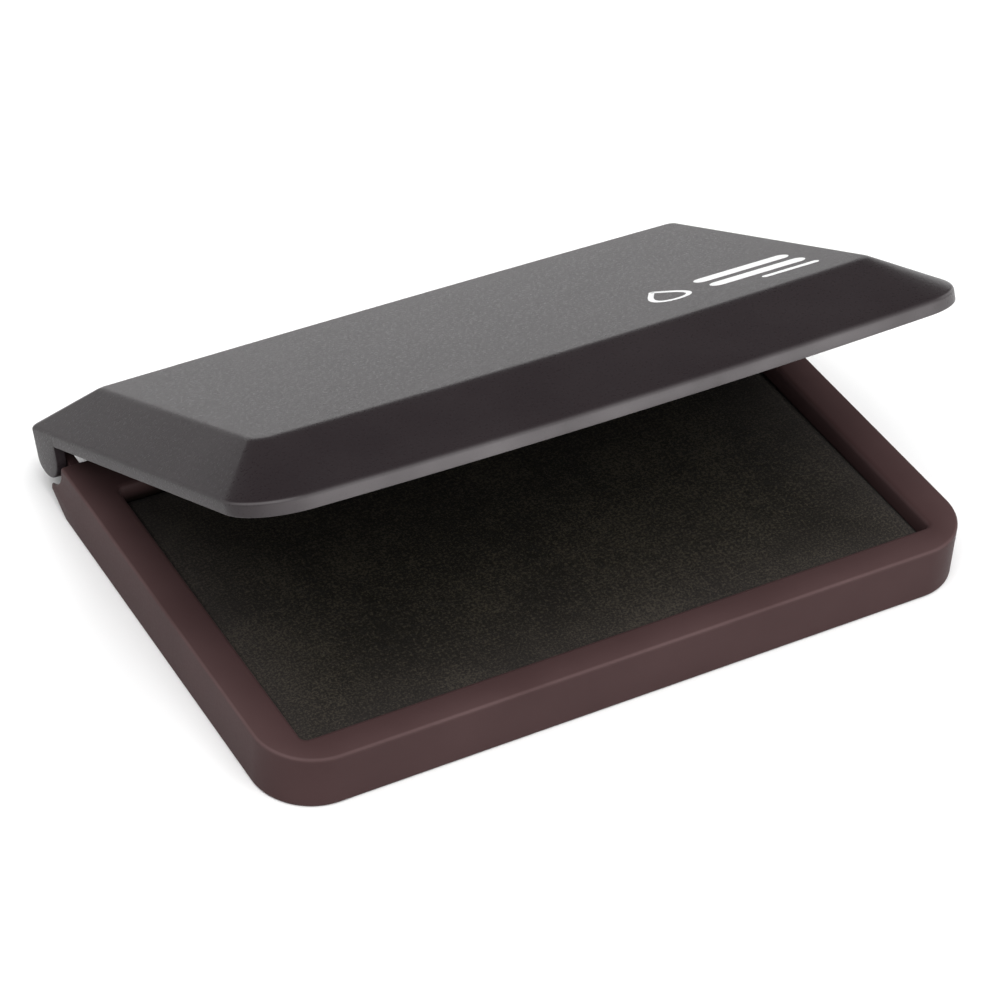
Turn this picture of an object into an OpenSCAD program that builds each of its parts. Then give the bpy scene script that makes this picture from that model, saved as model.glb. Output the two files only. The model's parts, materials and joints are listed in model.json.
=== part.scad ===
// Hinged desk ink pad: a flat tray that holds an inked textile pad, under a bevelled lid
// that turns on two short pins at the rear corners.
// The origin is the centre of the tray's underside. +Z is up and the hinge is at +Y.
// The lid is modelled closed and then turned about the hinge axis by open_angle.

/* [Tray] */
// Width of the tray
base_w = 100; // [80:1:140]
// Depth of the tray from its front face to its rear lip
base_d = 65.6; // [55:0.2:90]
// Height of the tray's rim above the table
base_h = 7.7; // [7:0.1:9]
// Corner radius at the front, in plan
base_front_r = 7.8; // [4:0.1:10]
// Corner radius at the rear lip, in plan
base_rear_r = 0.5; // [0.3:0.1:1]
// Thickness of the outer wall
base_wall = 1.6; // [1.2:0.1:2]
// Thickness of the rim's top skin
rim_skin = 1.5; // [1:0.1:2]
// Thickness of the bottom cover
cover_t = 1.25; // [1:0.05:1.5]

/* [Pad] */
// Width of the opening that shows the pad
well_w = 90; // [60:1:120]
// Depth of the opening that shows the pad
well_d = 51.2; // [40:0.2:70]
// Width of the rim in front of the opening
rim_front = 4.5; // [3:0.1:8]
// Corner radius of that opening
well_r = 0.8; // [0.5:0.1:3]
// How far the inked cloth lies below the rim
pad_drop = 2.4; // [1.5:0.1:3]
// Thickness of the wall around the well
well_wall = 1.2; // [0.8:0.1:1.6]
// Thickness of the leakproof tray's walls and floor
liner_t = 0.8; // [0.6:0.1:1]
// Thickness of the backing board
board_t = 0.8; // [0.5:0.1:1]
// Thickness of the soft wick layer
wick_t = 0.6; // [0.4:0.1:1]
// Thickness of the textile cover
cloth_t = 0.4; // [0.3:0.1:0.6]
// Width of the frame that clamps the cloth's edge
clamp_w = 1.2; // [0.8:0.1:2]

/* [Lid] */
// How far the lid stands out past each side of the tray
lid_side_over = 0.1; // [0.05:0.05:0.5]
// How far the middle of the lid's front edge overhangs the tray
lid_over = 1.9; // [0:0.1:3]
// How far the lid reaches behind the hinge axis
lid_back = 4.4; // [4:0.1:5]
// Gap between the rim and the closed lid
lid_gap = 0.35; // [0.2:0.05:0.8]
// Height of the upright band round the lid
band_h = 1.8; // [1.2:0.1:2.2]
// Height of the lid from its lower edge to its top face
lid_h = 6.3; // [5.5:0.1:6.6]
// Run of the bevel at each side
bevel_side = 7; // [4:0.1:10]
// Run of the bevel at the front
bevel_front = 12.45; // [8:0.05:16]
// Run of the bevel at the rear
bevel_rear = 9.6; // [7:0.1:12]
// Bow of the front edge between its ends
crown_front = 2.45; // [0.5:0.05:4]
// Bow of the top face's rear edge between its ends
crown_rear = 0.9; // [0.2:0.1:2]
// Corner radius of the lid at the front, in plan
lid_front_r = 8.4; // [5:0.1:10]
// Corner radius of the lid at the rear, in plan
lid_rear_r = 1.5; // [1:0.1:2]
// Corner radius of the top face, in plan
lid_top_r = 1; // [0.5:0.1:3]
// Thickness of the lid's walls
lid_wall = 1.2; // [1:0.1:1.4]

/* [Hinge] */
// How far the hinge axis lies behind the tray's rear lip
axis_back = 1.6; // [1.2:0.1:2]
// Height of the hinge axis above the table
axis_z = 7.3; // [7.2:0.1:8]
// Angle that the lid stands open at rest
open_angle = 27.9; // [0:0.1:180]
// Radius of the round ears that carry the lid
ear_r = 3.85; // [3:0.05:4]
// Thickness of each ear
ear_t = 1.25; // [1.1:0.05:1.4]
// Radius of the hinge pins
pin_r = 0.9; // [0.7:0.05:1]
// Radius of the pins' heads
pin_head_r = 1.45; // [1.2:0.05:1.6]
// Thickness of the pins' heads
pin_head_t = 0.5; // [0.3:0.1:0.8]
// Radius of the tray's lugs round the pins
lug_r = 1.9; // [1.6:0.1:1.9]
// Thickness of each lug
lug_t = 1.2; // [1:0.1:1.4]

/* [Seal and label] */
// Width of the seal inside the lid
seal_w = 1.2; // [0.8:0.1:2]
// Outer corner radius of the seal
seal_r = 3; // [2.2:0.1:5]
// Width of the blank label under the tray
label_w = 46; // [20:1:60]
// Depth of the blank label under the tray
label_d = 16; // [8:1:20]
// Thickness of the label
label_t = 0.15; // [0.1:0.05:0.2]

/* [Clearances] */
// Running clearance of a pin in its ear, on the radius
pin_clear = 0.05; // [0.02:0.01:0.09]
// Side gap between an ear and its lug
ear_gap = 0.3; // [0.2:0.05:0.5]
// Gap between the lid's turning rear edge and the tray
turn_clear = 0.2; // [0.15:0.05:0.4]
// Gap round a piece that drops into another
fit_clear = 0.15; // [0.1:0.05:0.3]
// Gap above the bottom cover and below the seal
seat_clear = 0.05; // [0.02:0.01:0.1]

/* [Hidden] */
$fn = 64;
hull_fn = 32;
over = 1;
thin = 0.01;

front_y = -base_d / 2;
rear_y = base_d / 2;
axis_y = rear_y + axis_back;

// Well and the stack of pieces in it, from the table up
well_y1 = front_y + rim_front;
well_y2 = well_y1 + well_d;
tray_z = cover_t + seat_clear;
board_z = tray_z + liner_t;
felt_z = board_z + board_t;
cloth_top = base_h - pad_drop;
cloth_z = cloth_top - cloth_t;
wick_z = cloth_z - wick_t;

// Lid, closed
lid_w = base_w + 2 * lid_side_over;
lid_z = base_h + lid_gap;
band_z = lid_z + band_h;
top_z = lid_z + lid_h;
rise = top_z - band_z;
lid_y1 = front_y - lid_over;
lid_y2 = axis_y + lid_back;
bow_r = (lid_w * lid_w / 4 + crown_front * crown_front) / (2 * crown_front);
top_bow_r = (lid_w * lid_w / 4 + crown_rear * crown_rear) / (2 * crown_rear);

// Room that the lid's rear edge needs as it turns, which is less at the rounded rear corners
end_w = 0.4;
end_back = lid_back - 0.25;
swing_r = norm([lid_back, band_z - axis_z]) + turn_clear;
end_swing_r = norm([end_back, band_z - axis_z]) - seat_clear;

// Tray's rear wall, and the slanted underside of its rear lip
wall_y = axis_y - lid_back - turn_clear - seat_clear;
lip_z = 2.2;
lip_slope = 0.472;
lip_cut = 0.5;
slant_y = rear_y - lip_z / lip_slope;
pocket_y = slant_y - base_wall;

// Hinge stack from the outside in
ear_x = lid_w / 2 - ear_t;
lug_x = ear_x - ear_gap - lug_t;
bore_floor = 0.3;
bore_end = lid_w / 2 - bore_floor;
pin_end = bore_end - 0.1;
neck_h = 0.3;
notch_gap = 0.25;
notch_h = lug_r + 0.4;
label_gap = 0.1;
bow_steps = 8;

function bow(x, r) = r - sqrt(r * r - x * x);
function skin_drop(run) = lid_wall / cos(atan(rise / run));
function inner_run(run) = (rise - lid_wall + skin_drop(run)) * run / rise;
function knee(run) = band_z + lid_wall * rise / run - skin_drop(run);

// A rectangle with its own corner radius at the front and at the rear
module plan(x, y1, y2, rf, rr) {
    translate([-x, y1 + rf]) square([2 * x, y2 - y1 - rf - rr]);
    translate([-x + rf, y1]) square([2 * (x - rf), 2 * rf]);
    translate([-x + rr, y2 - 2 * rr]) square([2 * (x - rr), 2 * rr]);
    for (s = [-1, 1]) {
        translate([s * (x - rf), y1 + rf]) circle(rf);
        translate([s * (x - rr), y2 - rr]) circle(rr);
    }
}

module slab(x, y1, y2, rf, rr, z1, z2) {
    translate([0, 0, z1]) linear_extrude(z2 - z1) plan(x, y1, y2, rf, rr);
}

// A slab that fills the well's outline, grown by g
module in_well(g, z1, z2) {
    slab(well_w / 2 + g, well_y1 - g, well_y2 + g, max(well_r + g, 0.1), max(well_r + g, 0.1), z1, z2);
}

// A round bar along X from x1 to x2 about the hinge axis
module along_axis(r, x1, x2) {
    translate([x1, axis_y, axis_z]) rotate([0, 90, 0]) cylinder(r = r, h = x2 - x1);
}

// A box from one corner to the other
module block(a, b) {
    translate(a) cube(b - a);
}

// ---- tray

// What is taken off the tray's rear so that the lid can turn through half a circle
module rear_scoop() {
    mid = base_w / 2 - end_w;
    intersection() {
        union() {
            along_axis(swing_r, -mid, mid);
            along_axis(end_swing_r, -base_w / 2 - over, base_w / 2 + over);
            block([-base_w, wall_y, axis_z], [base_w, rear_y + over, base_h + over]);
            block([-mid, rear_y - lip_cut, 0], [mid, rear_y + over, base_h + over]);
        }
        block([-base_w, wall_y, 0], [base_w, rear_y + over, base_h + over]);
    }
}

// The slanted underside of the rear lip
module rear_bevel() {
    y = rear_y + over;
    translate([-base_w, 0, 0]) rotate([90, 0, 90]) linear_extrude(2 * base_w)
        polygon([[slant_y, 0], [y, lip_z + over * lip_slope], [y, -over], [slant_y, -over]]);
}

module lug() {
    difference() {
        union() {
            along_axis(lug_r, lug_x, lug_x + lug_t);
            block([lug_x, wall_y - over, axis_z - lug_r], [lug_x + lug_t, axis_y, axis_z + neck_h]);
        }
        along_axis(pin_r, lug_x - over, lug_x + lug_t + over);
    }
}

module base_shell() {
    x = base_w / 2;
    w = base_wall;
    color([0.25, 0.18, 0.18]) {
        difference() {
            slab(x, front_y, rear_y, base_front_r, base_rear_r, 0, base_h);
            rear_scoop();
            rear_bevel();
            in_well(0, -over, base_h + over);
            slab(x - w, front_y + w, pocket_y, base_front_r - w, base_rear_r, -over, tray_z);
            difference() {
                slab(x - w, front_y + w, pocket_y, base_front_r - w, base_rear_r, 0, base_h - rim_skin);
                in_well(well_wall, -over, base_h);
            }
        }
        lug();
        mirror([1, 0, 0]) lug();
    }
}

module label_place(g, z1, z2) {
    block([-label_w / 2 - g, well_y1 + label_d / 2 - g, z1], [label_w / 2 + g, well_y1 + 1.5 * label_d + g, z2]);
}

module bottom_cover() {
    g = base_wall + fit_clear;
    color([0.2, 0.15, 0.15]) difference() {
        slab(base_w / 2 - g, front_y + g, pocket_y - fit_clear, base_front_r - g, base_rear_r, 0, cover_t);
        label_place(label_gap, -over, label_t + seat_clear);
    }
}

module base_label() {
    color("white") label_place(0, seat_clear, label_t + seat_clear);
}

// ---- pad

module pad_tray() {
    color([0.12, 0.12, 0.12]) difference() {
        in_well(-fit_clear, tray_z, wick_z + wick_t);
        in_well(-fit_clear - liner_t, board_z, cloth_top);
    }
}

module backing_board() {
    color([0.45, 0.4, 0.33]) in_well(-2 * fit_clear - liner_t, board_z, felt_z);
}

module cloth_frame() {
    color([0.3, 0.3, 0.3]) difference() {
        in_well(-2 * fit_clear - liner_t, felt_z, wick_z);
        in_well(-2 * fit_clear - liner_t - clamp_w, felt_z - over, wick_z + over);
    }
}

module felt_core() {
    color([0.1, 0.1, 0.1]) in_well(-3 * fit_clear - liner_t - clamp_w, felt_z, wick_z);
}

module wick_layer() {
    color([0.15, 0.14, 0.13]) in_well(-2 * fit_clear - liner_t, wick_z, cloth_z);
}

module ink_cloth() {
    color([0.08, 0.07, 0.06]) in_well(-2 * fit_clear, cloth_z, cloth_top);
}

// ---- hinge pins

module hinge_pin_right() {
    color([0.6, 0.6, 0.62]) {
        along_axis(pin_r, lug_x - thin, pin_end);
        along_axis(pin_head_r, lug_x - pin_head_t, lug_x);
    }
}

module hinge_pin_left() {
    mirror([1, 0, 0]) hinge_pin_right();
}

// ---- lid

// One level of the lid: round corners, a bowed front edge and, if r2 is given, a bowed rear edge
module lid_level(z, h, x, y1, y2, r1, r2, rear_bow = 0) {
    cy = y1 + bow_r - sqrt(pow(bow_r - r1, 2) - pow(x - r1, 2));
    translate([0, 0, z]) linear_extrude(h) {
        for (s = [-1, 1]) {
            translate([s * (x - r1), cy]) circle(r1, $fn = hull_fn);
            translate([s * (x - r2), y2 - r2]) circle(r2, $fn = hull_fn);
        }
        polygon([
            for (i = [-bow_steps:bow_steps]) let (u = i / bow_steps * (x - r1)) [u, y1 + bow(u, bow_r)],
            for (i = [bow_steps:-1:-bow_steps]) let (u = i / bow_steps * (x - r2))
                [u, y2 + (rear_bow == 0 ? 0 : bow(x - r2, rear_bow) - bow(u, rear_bow))]
        ]);
    }
}

// The lid's outer form
module lid_outside() {
    hull() {
        lid_level(lid_z, band_h, lid_w / 2, lid_y1, lid_y2, lid_front_r, lid_rear_r);
        lid_level(top_z - thin, thin, lid_w / 2 - bevel_side, lid_y1 + bevel_front, lid_y2 - bevel_rear,
            lid_top_r, lid_top_r, top_bow_r);
    }
}

// The hollow inside the lid, taken down by drop so that it cuts through the lower edge
module lid_inside(drop) {
    knee_z = min(knee(bevel_side), knee(bevel_front), knee(bevel_rear));
    hull() {
        lid_level(lid_z - drop, knee_z - lid_z + drop, lid_w / 2 - lid_wall, lid_y1 + lid_wall,
            lid_y2 - lid_wall, lid_front_r - lid_wall, lid_rear_r - lid_wall + 0.2);
        lid_level(top_z - lid_wall - thin, thin, lid_w / 2 - inner_run(bevel_side),
            lid_y1 + inner_run(bevel_front), lid_y2 - inner_run(bevel_rear), lid_top_r, lid_top_r, top_bow_r);
    }
}

module ear() {
    along_axis(ear_r, ear_x, lid_w / 2);
    block([ear_x, axis_y - ear_r, axis_z], [lid_w / 2, axis_y + lid_back - lid_rear_r, lid_z + band_h / 2]);
}

// The blind bore for a pin, open towards the lug
module ear_bore() {
    along_axis(pin_r + pin_clear, ear_x - over, bore_end);
}

// Room for a lug and the pin's head where the lid turns past them
module lug_notch() {
    block([lug_x - pin_head_t - notch_gap, axis_y - lug_r - notch_gap, lid_z - over],
        [ear_x, lid_y2 + over, axis_z + notch_h]);
}

module opened() {
    translate([0, axis_y, axis_z]) rotate([-open_angle, 0, 0]) translate([0, -axis_y, -axis_z]) children();
}

module lid_shell() {
    color([0.42, 0.41, 0.41]) opened() difference() {
        union() {
            difference() {
                lid_outside();
                lid_inside(over);
            }
            ear();
            mirror([1, 0, 0]) ear();
        }
        for (s = [0, 1]) mirror([s, 0, 0]) {
            lug_notch();
            ear_bore();
        }
    }
}

// A soft ring that meets the rim round the well and fills up to the lid's inner face
module lid_seal() {
    side = (base_w - well_w) / 4;
    front = rim_front / 2;
    rear = (wall_y - well_y2) / 2;
    x = well_w / 2 + side + seal_w / 2;
    y1 = well_y1 - front - seal_w / 2;
    y2 = well_y2 + rear + seal_w / 2;
    r = seal_r;
    w = seal_w;
    color([0.2, 0.2, 0.2]) opened() intersection() {
        lid_inside(0);
        difference() {
            slab(x, y1, y2, r, r, base_h + seat_clear, top_z);
            slab(x - w, y1 + w, y2 - w, r - w, r - w, base_h, top_z + over);
        }
    }
}

base_shell();
bottom_cover();
pad_tray();
backing_board();
cloth_frame();
felt_core();
wick_layer();
ink_cloth();
base_label();
hinge_pin_left();
hinge_pin_right();
lid_shell();
lid_seal();
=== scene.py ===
import json
import math

import bmesh
import bpy
import numpy as np
from mathutils import Matrix, Vector


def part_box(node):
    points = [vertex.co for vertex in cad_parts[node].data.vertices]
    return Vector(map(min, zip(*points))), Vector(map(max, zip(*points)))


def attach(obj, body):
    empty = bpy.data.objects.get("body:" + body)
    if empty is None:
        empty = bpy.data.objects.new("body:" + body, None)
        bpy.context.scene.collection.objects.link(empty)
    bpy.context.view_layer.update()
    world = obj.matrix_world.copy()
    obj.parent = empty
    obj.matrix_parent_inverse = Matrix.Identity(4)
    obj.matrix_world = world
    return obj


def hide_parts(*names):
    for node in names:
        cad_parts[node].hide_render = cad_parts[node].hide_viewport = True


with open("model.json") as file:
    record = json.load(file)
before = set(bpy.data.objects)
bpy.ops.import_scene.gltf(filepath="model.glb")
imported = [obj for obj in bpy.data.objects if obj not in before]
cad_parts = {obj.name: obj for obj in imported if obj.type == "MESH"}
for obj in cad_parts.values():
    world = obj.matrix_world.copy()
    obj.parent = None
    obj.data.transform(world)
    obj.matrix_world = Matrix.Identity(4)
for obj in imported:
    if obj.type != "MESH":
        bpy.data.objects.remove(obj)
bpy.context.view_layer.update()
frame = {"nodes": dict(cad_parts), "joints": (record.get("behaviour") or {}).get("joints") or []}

mm = 0.001
weldDistance = 1e-7          # metres; points closer than this become one
sliverLength = 1e-8          # metres; edges shorter than this are dissolved
tick = 1e-4                  # a step too small to see, where an edge jumps from one height to another

# Places that everything hangs from, in millimetres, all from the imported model
hingeJoint = frame["joints"][0]
axisY, axisZ = (v / mm for v in hingeJoint["pos_m"][1:])
restAngle = math.radians(-hingeJoint["range_deg"][0])   # how far the lid stands open
trayLow, trayHigh = (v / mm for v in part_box("base_shell"))
linerLow, linerHigh = (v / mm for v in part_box("pad_tray"))
clothLow, clothHigh = (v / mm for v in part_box("ink_cloth"))
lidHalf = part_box("lid_shell")[1].x / mm


# Quads between neighbouring rows of a rows x columns grid of points, row after row.
# The columns always close into a ring; closeRows joins the last row to the first as well.
def ringFaces(rows, columns, closeRows=False):
    r = np.arange(rows if closeRows else rows - 1)[:, None]
    c = np.arange(columns)[None, :]
    below, above, nextColumn = r * columns, (r + 1) % rows * columns, (c + 1) % columns
    quads = np.stack([below + c, below + nextColumn, above + nextColumn, above + c], axis=-1)
    return quads.reshape(-1, 4).tolist()


# One closed shell from a grid of rings: walls between the rings, and a cap on the first and last ring
# unless the rings close on themselves
def ringShell(points, closeRows=False):
    rows, columns = points.shape[:2]
    faces = ringFaces(rows, columns, closeRows)
    if not closeRows:
        faces.append(list(range(columns))[::-1])
        faces.append([(rows - 1) * columns + c for c in range(columns)])
    return points.reshape(-1, 3), faces


# Several shells in one mesh: the points follow each other and each shell's faces are shifted to match
def joinShells(shells):
    starts = np.cumsum([0] + [len(p) for p, _ in shells])
    faces = [[i + int(start) for i in face] for (_, fs), start in zip(shells, starts) for face in fs]
    return np.concatenate([p for p, _ in shells]), faces


# Turns points of the closed lid about the hinge axis to where the lid stands at rest:
# y' = y cos a + z sin a and z' = z cos a - y sin a, measured from the axis
def openLid(points):
    y, z = points[..., 1] - axisY, points[..., 2] - axisZ
    c, s = math.cos(restAngle), math.sin(restAngle)
    return np.stack([points[..., 0], axisY + y * c + z * s, axisZ + z * c - y * s], axis=-1)


# Puts a shell into the scene as one piece. Edges steeper than sharp degrees stay crisp. The last argument,
# if given, holds a number for each point: above 0 where painted light or a painted highlight makes the
# surface paler, below 0 where painted shade darkens it.
def makePiece(name, shell, material, body, sharp=32, paintedLightShade=None):
    points, faces = shell
    mesh = bpy.data.meshes.new(name)
    mesh.from_pydata((points * mm).tolist(), [], faces)
    if paintedLightShade is not None:
        edgeWear = mesh.attributes.new("edgeWear", "FLOAT", "POINT")
        edgeWear.data.foreach_set("value", paintedLightShade.astype(np.float32))
    work = bmesh.new()
    work.from_mesh(mesh)
    bmesh.ops.remove_doubles(work, verts=work.verts, dist=weldDistance)
    bmesh.ops.dissolve_degenerate(work, edges=work.edges, dist=sliverLength)
    bmesh.ops.recalc_face_normals(work, faces=work.faces)
    work.to_mesh(mesh)
    work.free()
    mesh.shade_smooth()
    mesh.set_sharp_from_angle(angle=math.radians(sharp))
    piece = bpy.data.objects.new(name, mesh)
    bpy.context.scene.collection.objects.link(piece)
    mesh.materials.append(material)
    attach(piece, body)
    return piece


# A rounded plan outline. The front edge is an arc of radius bow about (0, front + bow); the front corner
# is the circle of radius frontRound that touches both that arc and the side; the side is straight; the
# rear corner is a quarter circle; the rear edge bulges by rearBow times what an arc of radius bow would.
# marks holds, for each of the five stretches, how far along it each point lies, from 0 to 1.
# Only the right half is worked out, as rows x columns; the left half is its mirror image.
def halfOutline(form, marks):
    cuts = np.cumsum([len(m) for m in marks.values()])
    rows = max(np.shape(v)[0] if np.ndim(v) else 1 for v in form.values())
    parts = {k: np.split(np.broadcast_to(v, (rows, cuts[-1])), cuts[:-1], axis=1)
             for k, v in form.items()}
    pieces = []
    for i, (stretch, f) in enumerate(marks.items()):
        x, front, rear, r1, r2, bow, rearBow = (parts[k][i] for k in (
            "side", "front", "rear", "frontRound", "rearRound", "bow", "rearBow"))
        cornerY = front + bow - np.sqrt((bow - r1) ** 2 - (x - r1) ** 2)
        touch = np.arctan2(cornerY - front - bow, x - r1)
        if stretch == "frontEdge":
            a = -np.pi / 2 + (touch + np.pi / 2) * f
            px, py = bow * np.cos(a), front + bow + bow * np.sin(a)
        elif stretch == "frontCorner":
            a = touch * (1 - f)
            px, py = x - r1 + r1 * np.cos(a), cornerY + r1 * np.sin(a)
        elif stretch == "sideEdge":
            px, py = x + 0 * f, cornerY + (rear - r2 - cornerY) * f
        elif stretch == "rearCorner":
            a = np.pi / 2 * f
            px, py = x - r2 + r2 * np.cos(a), rear - r2 + r2 * np.sin(a)
        else:
            px = (x - r2) * (1 - f)
            py = rear + rearBow * ((x - r2) ** 2 - px ** 2) / (2 * bow)
        pieces.append(np.stack([px, py], axis=-1))
    return np.concatenate(pieces, axis=1)


# Adds heights to a half outline and mirrors it into full rings
def fullRings(half, z):
    points = np.concatenate([half, np.broadcast_to(z, half.shape[:2])[..., None]], axis=-1)
    return np.concatenate([points, points[:, -2:0:-1] * (-1, 1, 1)], axis=1)


# A prism along X: a profile of (y, z) points carried from x1 to x2, its rim taken in by edge at both
# ends, in two steps that stand for a rounding
def prismShell(profile, x1, x2, edge, bend=0.3):
    centre = profile.mean(axis=0)
    reach = np.abs(profile - centre).max()
    xs = np.array([x1, x1 + edge * bend, x1 + edge, x2 - edge, x2 - edge * bend, x2])
    shrink = 1 - edge / reach * np.array([1, bend, 0, 0, bend, 1])
    yz = centre + (profile - centre) * shrink[:, None, None]
    x = np.broadcast_to(xs[:, None, None], yz.shape[:2] + (1,))
    return ringShell(np.concatenate([x, yz], axis=-1))


def newMaterial(name):
    material = bpy.data.materials.new(name)
    material.use_nodes = True
    tree = material.node_tree
    coords = tree.nodes.new("ShaderNodeTexCoord").outputs["Object"]
    return material, tree, tree.nodes["Principled BSDF"], coords


def addNoise(tree, coords, grain, detail=2.0, roughness=0.5):
    node = tree.nodes.new("ShaderNodeTexNoise")
    node.inputs["Scale"].default_value = 1 / grain          # grain is the size of a lump in metres
    node.inputs["Detail"].default_value = detail
    node.inputs["Roughness"].default_value = roughness
    tree.links.new(coords, node.inputs["Vector"])
    return node.outputs["Fac"]


# Most of a noise lies between 0.3 and 0.7, so that range is stretched, unless another is given
def addRamp(tree, value, low, high, fromLow=0.3, fromHigh=0.7):
    node = tree.nodes.new("ShaderNodeMapRange")
    node.inputs["From Min"].default_value = fromLow
    node.inputs["From Max"].default_value = fromHigh
    node.inputs["To Min"].default_value = low
    node.inputs["To Max"].default_value = high
    tree.links.new(value, node.inputs["Value"])
    return node.outputs["Result"]


def addTint(tree, factor, darkColour, lightColour):
    node = tree.nodes.new("ShaderNodeMix")
    node.data_type = "RGBA"
    node.inputs["A"].default_value = (*darkColour, 1)
    node.inputs["B"].default_value = (*lightColour, 1)
    tree.links.new(factor, node.inputs["Factor"])
    return node.outputs["Result"]


def addBump(tree, height, depth, strength, before=None):
    node = tree.nodes.new("ShaderNodeBump")
    node.inputs["Distance"].default_value = depth
    node.inputs["Strength"].default_value = strength
    tree.links.new(height, node.inputs["Height"])
    if before:
        tree.links.new(before, node.inputs["Normal"])
    return node.outputs["Normal"]


def addMath(tree, operation, first, second, third=None):
    node = tree.nodes.new("ShaderNodeMath")
    node.operation = operation
    for socket, value in zip(node.inputs, (first, second, third)):
        if isinstance(value, (int, float)):
            socket.default_value = value
        elif value is not None:
            tree.links.new(value, socket)
    return node.outputs["Value"]


# Lays a second tone, painted light or painted shade, over the first where the piece's own attribute of
# painted light and shade says so, times a strength. The mix stops at 0 and 1, so a strength of -1 picks out
# the points where that attribute is negative, the painted shade.
def addPaintedLight(tree, tone, strength, overlay):
    painted = tree.nodes.new("ShaderNodeAttribute")
    painted.attribute_name = "edgeWear"
    node = tree.nodes.new("ShaderNodeMix")
    node.data_type = "RGBA"
    node.inputs["B"].default_value = (*overlay, 1)
    tree.links.new(tone, node.inputs["A"])
    tree.links.new(addMath(tree, "MULTIPLY", painted.outputs["Fac"], strength), node.inputs["Factor"])
    return node.outputs["Result"]


weakestEdge = 0.55           # how strong the lighter edge tone is where the clouds are darkest
waveSlope = 0.01             # height of the broad waves for each metre of a cloud's size


# Moulded plastic: two close tones in broad clouds speckled by the grain, the same grain as bump and in the
# roughness, a lighter tone of painted light and painted highlight along the edges that the clouds break up,
# and a darker tone of painted shade where the piece's attribute is negative
def mouldedPlastic(name, look):
    material, tree, shader, coords = newMaterial(name)
    clouds = addNoise(tree, coords, look["cloud"], detail=3)
    grain = addNoise(tree, coords, look["grain"], detail=3, roughness=0.6)
    speckle = addMath(tree, "MULTIPLY_ADD", grain, look["speckle"], addRamp(tree, clouds, 0, 1))
    mottle = addMath(tree, "SUBTRACT", speckle, look["speckle"] / 2)
    tone = addTint(tree, mottle, look["dark"], look["light"])
    if "edge" in look:
        tone = addPaintedLight(tree, tone, addRamp(tree, clouds, weakestEdge, 1), look["edge"])
    if "paintedShade" in look:
        tone = addPaintedLight(tree, tone, -1, look["paintedShade"])
    tree.links.new(tone, shader.inputs["Base Color"])
    tree.links.new(addRamp(tree, grain, *look["rough"]), shader.inputs["Roughness"])
    waves = addBump(tree, clouds, look["cloud"] * waveSlope, look["wave"])
    tree.links.new(addBump(tree, grain, look["depth"], look["bump"], waves), shader.inputs["Normal"])
    shader.inputs["IOR"].default_value = look["ior"]
    shader.inputs["Specular IOR Level"].default_value = look["gloss"]
    return material


# cloud and grain are the sizes of their lumps in metres, and depth is the height of the grain. The tray's
# edge tone is a painted highlight on its rim and a painted reflection in its well, its darkest tone is
# painted shade on the well's rear wall, and the lid's edge tone is painted light on its front band with a
# painted highlight.
finishes = {
    "tray": {"dark": (0.056, 0.031, 0.031), "light": (0.064, 0.036, 0.036),
             "edge": (0.105, 0.066, 0.066), "paintedShade": (0.010, 0.007, 0.006), "cloud": 0.011,
             "grain": 0.00030, "speckle": 0.5, "rough": (0.40, 0.50), "wave": 0.1, "depth": 0.00003,
             "bump": 0.12, "ior": 1.49, "gloss": 0.045},
    "lid": {"dark": (0.0192, 0.0143, 0.0160), "light": (0.0240, 0.0186, 0.0203),
            "edge": (0.135, 0.125, 0.128), "cloud": 0.013, "grain": 0.00036, "speckle": 1.2,
            "rough": (0.25, 0.36), "wave": 0.1, "depth": 0.00004, "bump": 0.3, "ior": 1.5,
            "gloss": 0.085},
    "liner": {"dark": (0.010, 0.010, 0.010), "light": (0.016, 0.016, 0.015), "cloud": 0.009,
              "grain": 0.00025, "speckle": 0.3, "rough": (0.3, 0.42), "wave": 0.1, "depth": 0.00002,
              "bump": 0.1, "ior": 1.5, "gloss": 0.3},
    "cover": {"dark": (0.030, 0.016, 0.015), "light": (0.038, 0.020, 0.019), "cloud": 0.012,
              "grain": 0.0004, "speckle": 0.6, "rough": (0.45, 0.58), "wave": 0.1, "depth": 0.00004,
              "bump": 0.25, "ior": 1.49, "gloss": 0.15},
    "seal": {"dark": (0.012, 0.012, 0.012), "light": (0.020, 0.019, 0.019), "cloud": 0.006,
             "grain": 0.00022, "speckle": 0.4, "rough": (0.6, 0.75), "wave": 0.2, "depth": 0.00002,
             "bump": 0.2, "ior": 1.45, "gloss": 0.3},
}


# Ink cloth: fine crossing threads almost lost under a brushed nap. The ink lies darker in patches, and
# painted light makes the cloth paler towards its edges. thread is the width of a thread and of the gap
# beside it.
clothLook = {"thread": 0.0004, "threadWander": 3, "weave": 0.06, "nap": 0.00026, "patch": 0.009,
             "patchShare": 0.25, "dark": (0.0030, 0.0024, 0.0006), "light": (0.052, 0.044, 0.029),
             "paintedLight": (0.086, 0.074, 0.072), "inkRange": (0.53, 0.77), "wet": (-0.46, 0.88), "paintedEdgeLight": 0.5,
             "rough": (0.7, 0.95), "depth": 0.00016, "bump": 0.9, "sheen": 0.05, "sheenRough": 0.5,
             "gloss": 0.1}


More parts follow.
